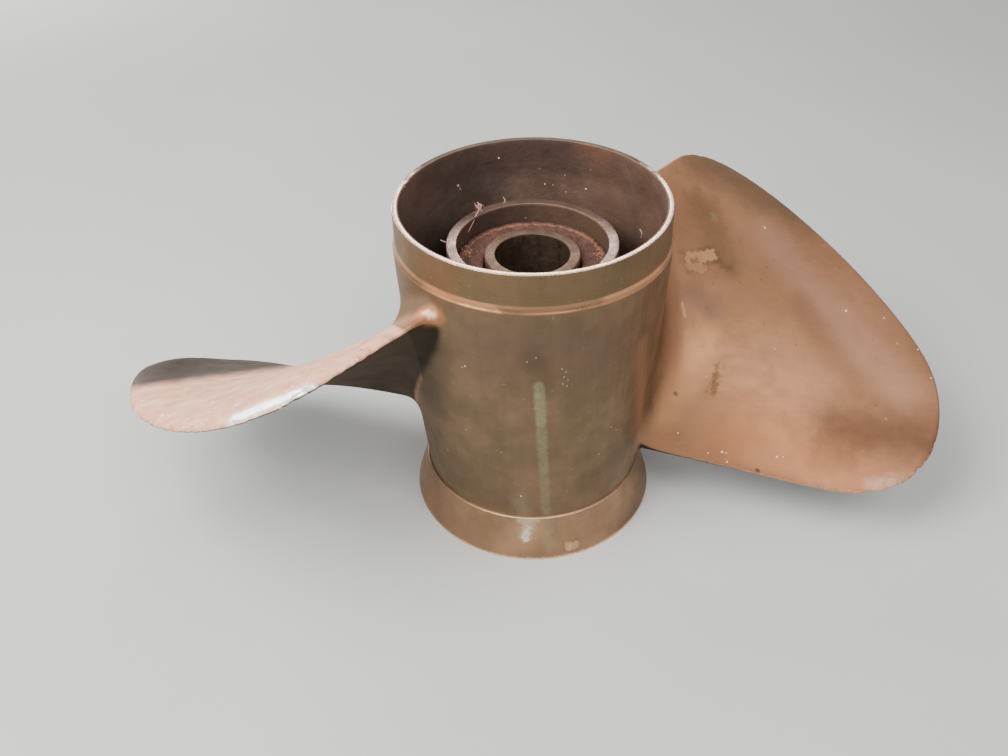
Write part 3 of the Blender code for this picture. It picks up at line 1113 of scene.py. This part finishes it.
def barrel_color(graph, photo):
    """Olive-brown patina with mottling and faint streaks that grow into a painted reflection of the
    blade towards the right, and a painted highlight on the shoulder band.
    """
    streaks = graph.noise(480, 3, stretch=(1, 1, 0.05), shift=3)
    turning = graph.noise(1900, 2, stretch=(0.002, 0.002, 1), shift=11)
    lip = graph.step(graph.z, LIP_BOTTOM - 0.0002, LIP_BOTTOM + 0.0003)
    color = graph.tint(
        graph.mix(graph.noise(40, 5), (118, 98, 76), (136, 110, 84)),
        (graph.noise(105, 5, shift=7), 0.50, (100, 86, 66)),
        # Streaks stronger towards the right: a painted reflection of the right blade
        (streaks, graph.step(graph.x, 0.020, 0.046, 0.07, 0.28), (168, 128, 96)),
        (lip, 0.30, (126, 104, 72)),
        (turning, lip * 0.16, (84, 68, 48)),
        (graph.dots(560, 0.00045, 0.18, 2), 0.32, (172, 160, 124)),
        (graph.dots(470, 0.00050, 0.18, 3), 0.34, (72, 58, 44)))
    color = graph.marks(color, photo, BARREL_MARKS)
    # Painted highlight: orange band along the shoulder, brightest low down
    band = graph.step(graph.z, SHOULDER_HEIGHT - 0.0004, SHOULDER_HEIGHT + 0.0003) * (1.0 - lip)
    uneven = graph.step(graph.noise(26, 2, shift=21), 0.40, 0.60, 0.45, 0.95)
    core = graph.step(graph.z, SHOULDER_HEIGHT + 0.0010, SHOULDER_HEIGHT + 0.0022, 1.0, 0.5)
    return graph.tint(color, (band * core, uneven, (255, 184, 132))), band


def front_face(graph, height, tilt):
    """Mask of the flat face at a height that looks to the front, with a ragged edge."""
    level = graph.step(graph.z, height - FACE_DEPTH[0], height - FACE_DEPTH[1])
    return level * graph.step(graph.ragged(graph.facing(), 0.10), *tilt)


def rim_color(graph, color):
    """Rim face with a painted highlight at the front and sides, and darker towards the back."""
    rim = (front_face(graph, HUB_LENGTH, (0.70, 0.90))
           * graph.step(graph.reach, RIM_RADIUS - 0.0019, RIM_RADIUS - 0.0016))
    toward_back = graph.step(graph.ragged(graph.y, 0.012, True), *RIM_HIGHLIGHT_FADE)
    # Painted highlight: the rim's face pale pinkish white at the front and sides, olive-brown at
    # the back
    face_tone = graph.mix(toward_back, (255, 216, 194), (92, 76, 58))
    return graph.mix(rim, color, face_tone), rim * (1.0 - toward_back)


def bronze_color(graph):
    """Pinkish bronze of the blades, clouded, brushed lengthwise and finely spotted."""
    brushed = graph.noise(1000, 3, stretch=(0.03, 1, 1), shift=9)
    color = graph.tint(
        graph.mix(graph.noise(20, 4, shift=1), (168, 119, 86), (182, 131, 98)),
        (graph.noise(60, 5, shift=4), 0.25, (150, 108, 76)),
        (brushed, 0.10, (204, 154, 124)),
        (graph.dots(310, 0.0007, 0.20, 5), 0.35, (108, 78, 56)),
        (graph.dots(270, 0.0007, 0.12, 7), 0.40, (226, 186, 158)))
    return color, brushed


def add_left_blade(graph, color, brushed, outside, photo):
    """Painted light on the left blade: a pale strip of painted highlight, painted shade on its far
    part, and a white stripe of painted highlight on a polished patch, as the photo shows them.
    """
    above = graph.math("MINIMUM", graph.sight_line(photo, *SHADE_LINE),
                       graph.sight_line(photo, *SHADE_END))
    far = graph.step(graph.ragged(above, 0.0006, True), -0.0010, 0.0030)
    lit_side = (photo.matrix.translation - Vector(BLADE_MIDDLE)).normalized()
    beyond = graph.ragged(graph.sight_line(photo, *STRIP_END), 0.0004)
    end = photo.point(STRIP_END[1])[0].x
    left = (graph.fall(beyond, -0.0004, 0.0002)
            * graph.fall(graph.x, end, end + 0.0010)
            * graph.step(graph.facing(tuple(lit_side)), -0.16, 0.01)
            * graph.step(outside, 0.0004, 0.0014))
    # Painted highlight: the pale pink strip, with bright flecks in it
    pale = graph.tint(
        graph.mix(graph.noise(90, 5, shift=22), (255, 182, 142), (255, 206, 174)),
        (brushed, 0.40, (212, 138, 104)),
        (graph.noise(260, 4, shift=26), 0.30, (255, 232, 214)),
        (graph.noise(48, 5, shift=33), 0.30, (214, 146, 118)),
        (graph.dots(330, 0.0010, 0.18, 6), 0.35, (206, 138, 104)),
        (graph.noise(150, 5, shift=28), 0.60, (206, 138, 104)),
        (graph.dots(360, 0.0009, 0.14, 8), 0.80, (255, 248, 234)))
    # Painted shade on the blade's far part
    shade = graph.mix(brushed, (58, 46, 36), (70, 56, 44))
    # Painted highlight: a glow round the white stripe, and the stripe itself
    glow = graph.mark(photo, STRIPE, 1.6 * STRIPE_REACH, 0.8, 0.2) * left
    stripe = graph.mark(photo, STRIPE, STRIPE_REACH, 0.6, 0.5) * left
    color = graph.tint(color, (left, 1.0, graph.mix(far, pale, shade)),
                       (glow, 0.5, (255, 236, 224)), (stripe, 1.0, (255, 255, 255)))
    return color, left, stripe, far * left


def outer_bronze(photo):
    """Bronze of the blades, the barrel's outside and the rim."""
    graph = Graph("casting_bronze_worn")
    outside = skin_distance(graph)
    barrel, band = barrel_color(graph, photo)
    barrel, bright = rim_color(graph, barrel)
    blade, brushed = bronze_color(graph)
    blade = graph.marks(blade, photo, BLADE_MARKS)
    edge = graph.ragged(graph.attribute("edge_distance"), 0.0009)
    edge = graph.fall(edge, 0.0002, EDGE_WEAR)
    blade = graph.tint(blade, (edge, 0.30, (232, 190, 160)))
    on_blade = graph.step(graph.ragged(outside, 0.0012, True), 0.0004, 0.0080)
    color = graph.mix(on_blade, barrel, blade)
    color, left, stripe, far = add_left_blade(graph, color, brushed, outside, photo)
    # Painted shade on the blades and their root fillets where they face down
    under = graph.fall(graph.facing(), -0.22, -0.06) * graph.step(outside, 0.0002, 0.0020)
    underside_shade = graph.mix(graph.noise(50, 4, shift=24), (44, 42, 36), (62, 56, 46))
    color = graph.tint(color, (under, 0.96, underside_shade))
    graph.set("Base Color", graph.marks(color, photo, ROOT_MARKS))
    shine = graph.math("MAXIMUM", bright, band)
    dull = graph.mark(photo, DULL_ROOT, DULL_REACH, 0.7, 0.2)
    metallic = (0.75 - on_blade * 0.15 - left * 0.40 - far * 0.20
                + stripe * 0.55 + shine * 0.20)
    graph.set("Metallic", graph.math("SUBTRACT", metallic, dull, clamp=True))
    graph.set("Specular IOR Level", 0.12)
    graph.set("Roughness", graph.noise(140, 4, shift=15) * 0.10 + 0.48 - shine * 0.22
              + dull * 0.30 - stripe * 0.14 + under * 0.25)
    graph.relief((graph.noise(30, 3, shift=17), 0.00004),
                 (graph.noise(700, 4, shift=18), 0.000015), (brushed * on_blade, 0.000006))
    return graph.material


def inner_bronze(photo):
    """Sooty reddish brown inside of the hub, with painted shade deep down and low on the left,
    painted light and shade in the tube's bore, and the worn face of its tube.
    """
    graph = Graph("casting_bronze_inside")
    side = graph.step(graph.x, -0.040, 0.035)
    color = graph.tint(
        graph.mix(graph.noise(60, 5, shift=2), (118, 94, 82), (142, 112, 94)),
        (graph.noise(110, 5, shift=6), 0.35, (138, 92, 68)),
        (1.0 - side, 0.35, (132, 114, 102)),
        (side, 0.40, (104, 78, 60)),
        (graph.noise(34, 4, shift=12), 0.50, (70, 54, 50)))
    color = graph.marks(color, photo, INNER_MARKS)
    # Masks of painted shade: deep down between barrel and tube, and low on the left
    deep = graph.fall(graph.z, TUBE_TOP - 0.030, TUBE_TOP + 0.001)
    outside_tube = graph.step(graph.reach, TUBE_RADIUS - 0.0006, TUBE_RADIUS - 0.0002)
    within = 1.0 - outside_tube
    below_face = graph.fall(graph.z, TUBE_TOP - 0.0012, TUBE_TOP - 0.0006)
    low_left = (graph.fall(graph.x, -0.030, 0.004)
                * graph.fall(graph.z, TUBE_TOP - 0.010, TUBE_TOP + 0.016))
    color = graph.tint(
        color,
        # Painted light on the right side of the tube's bore
        (within * graph.step(graph.x, 0.004, 0.026), 0.55, (162, 130, 98)),
        # Painted shade in the tube's bore below its face
        (within * below_face, 0.55, (50, 38, 32)),
        # Painted shadow low on the left, beside the tube
        (low_left * outside_tube, 0.30, (36, 26, 24)),
        # Painted shade deep down between barrel and tube
        (deep * outside_tube, 0.80, (34, 26, 24)),
        (graph.dots(330, 0.0005, 0.10, 4), 0.45, (170, 150, 130)))
    face = (front_face(graph, TUBE_TOP, (0.60, 0.85))
            * graph.fall(graph.reach, TUBE_RADIUS, TUBE_RADIUS + 0.002))
    toward_back = graph.step(graph.ragged(graph.y, 0.010, True), *FACE_TARNISH)
    face_tone = graph.mix(graph.noise(170, 4), (206, 174, 168), (166, 134, 124))
    face_tone = graph.mix(toward_back, face_tone, (140, 114, 100))
    graph.set("Base Color", graph.tint(color, (face, 0.90, face_tone)))
    graph.set("Metallic", face * 0.5 + 0.3)
    rough = graph.noise(140, 4, shift=15) - face * 1.2
    graph.set("Roughness", rough * 0.16 + 0.56)
    graph.relief((graph.noise(60, 4, shift=17), 0.0003), (graph.noise(700, 4, shift=18), 0.00003))
    return graph.material


# Marks of the ring, as those of the casting
RING_MARKS = (
    # Painted highlight on the front of the flare, which faces up
    ((505, 549), (530, 530), 0.0060, 0.90, 0.3, 0.35, (220, 172, 132)),
    ((520, 521), (537, 520), 0.0012, 0.90, 0.9, 0.60, (200, 194, 150)),
    ((528, 524), (527, 536), 0.0024, 0.80, 0.9, 0.60, (206, 194, 160)),
    ((527, 530), (525, 538), 0.0016, 0.80, 0.9, 0.75, (250, 236, 210)),
    ((546, 517), (550, 546), 0.0021, 0.80, 0.9, 0.34, (156, 156, 120)),
    ((569, 548), (576, 545), 0.0016, 0.25, 0.6, 0.80, (222, 182, 138)),
    ((567, 544), (570, 544), 0.0011, 0.40, 0.9, 0.60, (216, 174, 128)),
    ((633, 486), (634, 489), 0.0010, 0.50, 0.5, 0.60, (186, 96, 60)),
    ((641, 492), (642, 495), 0.0008, 0.50, 0.5, 0.60, (180, 96, 60)),
    # Painted shadow of the right blade's root on the ring's right side
    ((640, 500), (628, 522), 0.0070, 0.90, 0.3, 0.50, (96, 74, 56)),
)


def ring_bronze(photo):
    graph = Graph("ring_bronze_worn", metallic=0.8)
    turning = graph.noise(1700, 2, stretch=(0.002, 0.002, 1), shift=5)
    color = graph.tint(
        graph.mix(graph.noise(45, 4), (148, 116, 88), (166, 130, 100)),
        (graph.noise(130, 5, shift=3), 0.40, (122, 98, 72)),
        (turning, 0.08, (206, 160, 122)))
    color = graph.marks(color, photo, RING_MARKS)
    # Painted highlight: bright lines along the foot and the top edge, strongest at the front
    foot = graph.fall(graph.ragged(graph.z, 0.0004), 0.0006, 0.0014)
    top = graph.step(graph.ragged(graph.z, 0.0002), BARREL_BOTTOM - 0.0004, BARREL_BOTTOM - 0.0001)
    edge = graph.math("MAXIMUM", foot, top) * graph.step(graph.y, -0.050, -0.010, 0.85, 0.20)
    graph.set("Base Color", graph.tint(color, (edge, 1.0, (244, 204, 166))))
    graph.set("Roughness", graph.noise(120, 4, shift=8) * 0.15 + 0.38 - edge * 0.08)
    graph.relief((graph.noise(420, 4, shift=9), 0.00003), (turning, 0.000006))
    return graph.material


def bush_rubber():
    graph = Graph("bush_rubber_aged", metallic=0.0)
    off_ring = graph.math("ABSOLUTE", graph.reach - (bush_high.x - BUSH_RING_DEPTH))
    ring = (graph.fall(graph.ragged(off_ring, 0.0008), 0.0002, 0.0008)
            * graph.step(graph.y, -0.004, 0.010))
    # Painted shade where the rubber lies more than about a millimetre below its top: in the cracks,
    # beside the sleeve and down the sides
    low = graph.fall(graph.z, bush_high.z - 0.0030, bush_high.z - 0.0010)
    graph.set("Base Color", graph.tint(
        graph.mix(graph.noise(240, 5), (64, 42, 36), (98, 62, 49)),
        (graph.noise(520, 4, shift=4), 0.35, (116, 74, 53)),
        (ring, 0.45, (166, 116, 84)),
        (low, 0.80, (26, 18, 16))))
    graph.set("Roughness", graph.noise(300) * 0.2 + 0.75)
    graph.relief((graph.noise(380, 5, shift=6), 0.0005), (graph.noise(1500, 3, shift=7), 0.00015))
    return graph.material


def sleeve_bronze():
    graph = Graph("sleeve_bronze_dull")
    bore = graph.fall(graph.reach, COUNTERBORE_RADIUS + 0.0001, COUNTERBORE_RADIUS + 0.0005)
    bands = graph.noise(260, 3, stretch=(1, 1, 0.04), shift=5)
    # Painted shade on the sleeve's outer wall just below its top, in the groove beside the rubber
    low = (graph.fall(graph.z, sleeve_high.z - 0.0035, sleeve_high.z - 0.0008)
           * graph.step(graph.reach, 0.0180, 0.0186))
    graph.set("Base Color", graph.tint(
        graph.mix(graph.noise(160, 4), (122, 96, 80), (148, 118, 98)),
        (bore, 1.0, graph.mix(bands, (48, 37, 29), (64, 50, 39))),
        (graph.noise(420, 4, shift=8), 0.35, (96, 74, 58)),
        (low, 0.80, (58, 42, 34))))
    graph.set("Metallic", 0.70 - bore * 0.3)
    graph.set("Roughness", graph.noise(230) * 0.2 + 0.42)
    graph.relief((graph.noise(500, 4, shift=9), 0.00008), (bands, 0.00005))
    return graph.material


def grain_material(name, first, second, scale):
    graph = Graph(name, 0.85, 0.0)
    graph.set("Base Color", graph.mix(graph.noise(scale, 3), first, second))
    graph.relief((graph.noise(4 * scale, 3, shift=2), 0.0001))
    return graph.material


# Dust, grit and lint that lie on the propeller: pixel and half width in metres
SPECKS = (
    ((499, 158), 0.0005), ((458, 186), 0.0006), ((460, 189), 0.0004), ((586, 189), 0.0005),
    ((565, 175), 0.00022), ((545, 184), 0.0004), ((553, 185), 0.00022), ((566, 192), 0.00022),
    ((633, 158), 0.0009), ((637, 160), 0.0006), ((647, 167), 0.0006), ((552, 139), 0.0006),
    ((407, 181), 0.0007), ((404, 185), 0.0006), ((400, 190), 0.0006), ((410, 177), 0.0005),
    ((465, 366), 0.0004), ((462, 367), 0.00022), ((527, 362), 0.00022), ((536, 358), 0.00022),
    ((562, 369), 0.00022), ((566, 372), 0.00022), ((564, 377), 0.00022), ((568, 380), 0.00022),
    ((563, 384), 0.00022), ((567, 386), 0.00022), ((501, 452), 0.00022), ((466, 430), 0.00022),
    ((448, 450), 0.00022), ((521, 496), 0.0004), ((599, 454), 0.00022), ((611, 427), 0.00022),
    ((616, 430), 0.00022), ((765, 228), 0.0006), ((884, 318), 0.0005), ((846, 311), 0.0007),
    ((708, 453), 0.0004), ((722, 452), 0.0006), ((726, 453), 0.0004), ((777, 457), 0.0006),
    ((783, 457), 0.0004), ((727, 462), 0.0005), ((678, 433), 0.0004), ((931, 378), 0.0004),
    ((922, 350), 0.0004), ((337, 351), 0.0008), ((214, 388), 0.0008), ((210, 389), 0.0006),
    ((218, 387), 0.0006), ((208, 420), 0.0008), ((205, 424), 0.0005), ((165, 417), 0.0005),
    ((151, 423), 0.0006), ((185, 395), 0.0007), ((182, 396), 0.0004), ((149, 399), 0.0007),
    ((146, 400), 0.0005), ((158, 404), 0.0005), ((139, 402), 0.0005), ((176, 400), 0.0005),
    ((280, 407), 0.0006), ((200, 431), 0.0005), ((140, 417), 0.0006), ((257, 392), 0.0004),
    ((301, 374), 0.0005), ((352, 352), 0.0004), ((236, 398), 0.0004), ((191, 409), 0.0004),
)
CRUMB_PIXELS = ((468, 252, 11, 9, 70), (599, 253, 6, 9, 22), (476, 208, 4, 5, 8))
FIBRES = (
    ((478, 204), (479, 209), (476, 216), (472, 224), (468, 232)),
    ((474, 203), (478, 206), (483, 205)), ((476, 208), (480, 204), (484, 207)),
    ((475, 205), (479, 209), (482, 211)), ((477, 202), (481, 206), (480, 210)),
    ((640, 229), (642, 233), (641, 238)), ((503, 197), (505, 200), (504, 203)),
    ((457, 185), (459, 187), (461, 190)), ((440, 240), (446, 242), (452, 241)),
)
FREE_END = 0.004
FIBRE_RADIUS = 0.00022
FIBRE_LIFT = 0.0001
FIBRE_SIDES = 5
CURVE_STEPS = 4
GRAIN_UNEVENNESS = 0.4
GRAIN_FLATNESS = 0.5
CRUMB_RADIUS = 0.0003
CRUMB_GROWTH = 0.0004
CRUMB_SPREAD = 1.6


def add_lump(data, place, normal, radius, seed):
    """A flattened uneven grain, half sunk into the surface that carries it."""
    made = bmesh.ops.create_icosphere(data, subdivisions=1, radius=1.0)
    turn = normal.to_track_quat("Z", "Y").to_matrix()
    for vert in made["verts"]:
        uneven = noise.noise(vert.co * 1.3 + Vector((seed, 0, 0)))
        reach = radius * (1 + GRAIN_UNEVENNESS * uneven)
        vert.co.z *= GRAIN_FLATNESS
        vert.co = place + turn @ (vert.co * reach)


def add_fibre(data, points):
    """A thin closed tube through points."""
    rings = []
    for index, point in enumerate(points):
        ahead = points[min(index + 1, len(points) - 1)] - points[max(index - 1, 0)]
        turn = ahead.to_track_quat("Z", "Y").to_matrix()
        ring = []
        for side in range(FIBRE_SIDES):
            offset = cylinder_point(FIBRE_RADIUS, 2 * math.pi * side / FIBRE_SIDES, 0)
            ring.append(data.verts.new(point + turn @ offset))
        rings.append(ring)
    bridge(data, rings)
    data.faces.new(reversed(rings[0]))
    data.faces.new(rings[-1])


def between(points):
    """Points of a smooth curve through the given ones."""
    ends = [2 * points[0] - points[1]] + points + [2 * points[-1] - points[-2]]
    made = []
    for before, start, end, after in zip(ends, ends[1:], ends[2:], ends[3:]):
        for step in range(CURVE_STEPS):
            share = step / CURVE_STEPS
            made.append(0.5 * (2 * start + (end - before) * share
                               + (2 * before - 5 * start + 4 * end - after) * share ** 2
                               + (3 * start - before - 3 * end + after) * share ** 3))
    return made + [points[-1]]


def hanging_points(photo, pixels):
    """Points of a fibre on what carries it; what lies far behind hangs beside its nearest point."""
    eye = photo.matrix.translation
    found = [photo.point(pixel) for pixel in pixels]
    nearest = min((place - eye).length for place, _ in found)
    points = []
    for pixel, (place, normal) in zip(pixels, found):
        if (place - eye).length > nearest + FREE_END:
            place = eye + photo.ray(pixel) * (nearest + 0.5 * FREE_END)
        points.append(place + FIBRE_LIFT * normal)
    return points


def loose_dirt(photo):
    """Grains and lint as separate pieces, each grain sunk into what carries it."""
    data = bmesh.new()
    for number, (pixel, radius) in enumerate(SPECKS):
        place, normal = photo.point(pixel)
        place.z = min(place.z, HUB_LENGTH - radius)
        add_lump(data, place, normal, radius, number)
    pale = grain_material("dust_pale", (248, 234, 214), (222, 196, 156), 900)
    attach(add_object("dust_specks", data, pale), "root")
    data = bmesh.new()
    for x, y, half_width, half_height, count in CRUMB_PIXELS:
        for number in range(count):
            seed = Vector((0.73 * number + 0.31, 0.1 * x, 0))
            across = noise.noise(seed * 3.1) * CRUMB_SPREAD
            down = noise.noise(seed * 3.1 + Vector((0, 9, 4))) * CRUMB_SPREAD
            place, normal = photo.point((x + half_width * across, y + half_height * down))
            radius = CRUMB_RADIUS + CRUMB_GROWTH * abs(noise.noise(seed * 7))
            add_lump(data, place, normal, radius, number)
    rust = grain_material("crumbs_reddish", (112, 70, 54), (168, 112, 82), 700)
    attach(add_object("rubber_crumbs", data, rust), "root")
    data = bmesh.new()
    for pixels in FIBRES:
        add_fibre(data, between(hanging_points(photo, pixels)))
    pink = grain_material("lint_pinkish", (206, 160, 150), (172, 128, 116), 500)
    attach(add_object("lint_fibres", data, pink), "root")


# Floor and lights

FLOOR_HALF = 6.0


def make_floor():
    data = bmesh.new()
    bmesh.ops.create_grid(data, x_segments=1, y_segments=1, size=FLOOR_HALF)
    graph = Graph("floor_pale", 0.9, 0.0)
    graph.set("Base Color", graph.mix(graph.noise(3), (198, 198, 194), (204, 204, 200)))
    item = add_object("floor", data, graph.material)


LIGHT_AIM = Vector((0.0, 0.0, 0.10))


def light_place(turn, elevation, distance):
    """Place at a turn from straight behind the object (positive to the right) and a height."""
    elevation = math.radians(elevation)
    across, ahead = plan_point(distance * math.cos(elevation), math.radians(90 - turn))
    return LIGHT_AIM + Vector((across, ahead, distance * math.sin(elevation)))


# Lights: name, place, aim, size and power
LIGHTS = (
    ("key_front", light_place(150, 52, 1.4), LIGHT_AIM, (0.8, 0.8), 12.0),
    ("fill_left", light_place(-125, 45, 1.4), LIGHT_AIM, (0.5, 0.5), 10.0),
    ("strip_left", (-0.30, -0.20, 0.62), Vector((-0.13, -0.03, 0.06)), (0.40, 0.40), 4.6),
    ("back_softbox", light_place(0, 31, 1.2), LIGHT_AIM, (0.46, 0.22), 3.4),
    ("low_left", light_place(-41, 10, 1.3), LIGHT_AIM, (0.48, 0.22), 7.3),
)
SKY_COLOR = (0.82, 0.85, 0.88, 1.0)
SKY_STRENGTH = 0.40


def make_lights():
    world = bpy.data.worlds.new("studio")
    bpy.context.scene.world = world
    world.use_nodes = True
    back = world.node_tree.nodes["Background"]
    back.inputs["Color"].default_value = SKY_COLOR
    back.inputs["Strength"].default_value = SKY_STRENGTH
    for name, place, aim, size, power in LIGHTS:
        data = bpy.data.lights.new(name, "AREA")
        data.shape = "RECTANGLE"
        data.size, data.size_y = size
        data.energy = power
        item = link(name, data)
        item.location = place
        item.rotation_euler = (aim - item.location).to_track_quat("-Z", "Y").to_euler()


# Assembly

INSIDE_SHARE = 0.8


def dress(item, *materials):
    """Gives a piece its finished materials."""
    item.data.materials.clear()
    for material in materials:
        item.data.materials.append(material)


def split_inside(item):
    """Gives the faces inside the hub the casting's second material."""
    for face in item.data.polygons:
        centre = face.center
        skin = barrel_radius(centre.z)
        if centre.z > SHOULDER_HEIGHT:
            share = (centre.z - SHOULDER_HEIGHT) / (HUB_LENGTH - SHOULDER_HEIGHT)
            skin = SHOULDER_RADIUS + share * (RIM_RADIUS - SHOULDER_RADIUS)
        if centre.xy.length < skin - INSIDE_SHARE * BARREL_WALL:
            face.material_index = 1


def main():
    matrix = make_camera()
    make_floor()
    make_lights()
    hub = casting()
    carve_nicks(hub, Photo(matrix, [hub]))
    ring = flared_ring()
    bush = rubber_bush(bush_rubber())
    sleeve = splined_sleeve(sleeve_bronze())
    photo = Photo(matrix, [hub, ring, bush, sleeve])
    dress(hub, outer_bronze(photo), inner_bronze(photo))
    split_inside(hub)
    dress(ring, ring_bronze(photo))
    loose_dirt(photo)


main()
